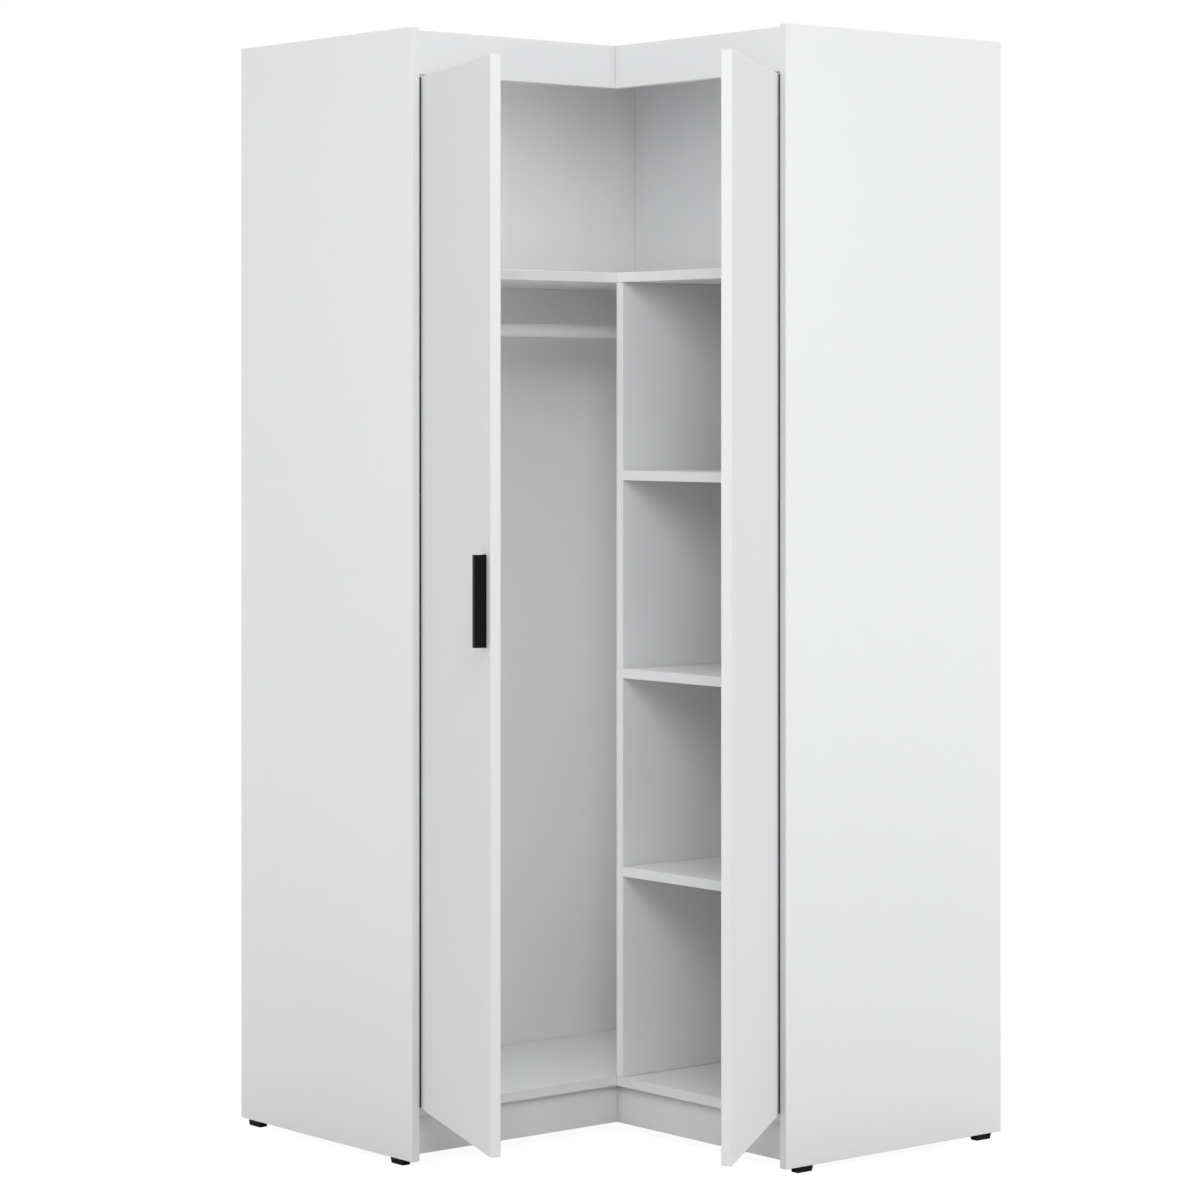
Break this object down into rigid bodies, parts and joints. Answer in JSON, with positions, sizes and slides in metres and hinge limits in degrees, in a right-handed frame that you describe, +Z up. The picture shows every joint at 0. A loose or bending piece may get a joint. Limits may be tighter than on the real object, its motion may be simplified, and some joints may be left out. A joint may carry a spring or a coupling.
{
  "type": "corner wardrobe",
  "caption": "L-shaped corner wardrobe with a hinged door on each wing, a hanging rod along one wing and shelves in the other.",
  "frame": {"origin": "centre of the underside of the rear glide under the corner panel, on the floor near the room's corner", "axes": "+Z up; +X along the right wing, away from the room's corner; -Y along the left wing, away from the room's corner, so the doors face +X and -Y"},
  "size_m": [1.2533, 1.1594, 2.01],
  "materials": {
    "board": "white melamine faced chipboard, fine satin grain",
    "door_board": "white melamine faced chipboard, satin",
    "back_board": "white lacquered hardboard, satin",
    "rod": "white powder coat, semi gloss",
    "handle": "black powder coat, matt",
    "glide": "black moulded plastic, matt",
    "hinge": "dark plated steel, satin",
    "screw": "zinc plated steel"
  },
  "bodies": {
    "carcass": {"side_panel_left": "board", "side_panel_right": "board", "corner_panel": "board", "divider": "board", "top_board_left": "board", "top_board_right": "board", "hat_shelf_left": "board", "hat_shelf_right": "board", "bottom_board_left": "board", "bottom_board_right": "board", "shelf_1": "board", "shelf_2": "board", "shelf_3": "board", "fascia_left": "board", "fascia_right": "board", "plinth_left": "board", "plinth_right": "board", "rear_rail_left": "board", "rear_rail_right": "board", "back_panel_left": "back_board", "back_panel_right": "back_board", "rod_socket_rear": "rod", "rod_socket_front": "rod", "hanging_rod": "rod", "glide_left_rear": "glide", "glide_left_front": "glide", "glide_right_rear": "glide", "glide_right_front": "glide", "glide_corner_rear": "glide", "glide_corner_front": "glide", "hinge_left_panel_leaf": "hinge", "hinge_left_pin": "hinge", "hinge_right_panel_leaf": "hinge", "hinge_right_pin": "hinge"},
    "left_door": {"door_left": "door_board", "handle": "handle", "handle_screw_lower": "screw", "handle_screw_upper": "screw", "hinge_left_door_leaf": "hinge"},
    "right_door": {"door_right": "door_board", "hinge_right_door_leaf": "hinge"}
  },
  "joints": [
    {"name": "left_door_hinge", "type": "hinge", "parent": "carcass", "child": "left_door", "pos_m": [0.367, -0.8508, 0], "axis": [0, 0, 1], "range_deg": [-61, 112]},
    {"name": "right_door_hinge", "type": "hinge", "parent": "carcass", "child": "right_door", "pos_m": [0.8148, -0.403, 0], "axis": [0, 0, 1], "range_deg": [-127.7, 45.3]}
  ]
}
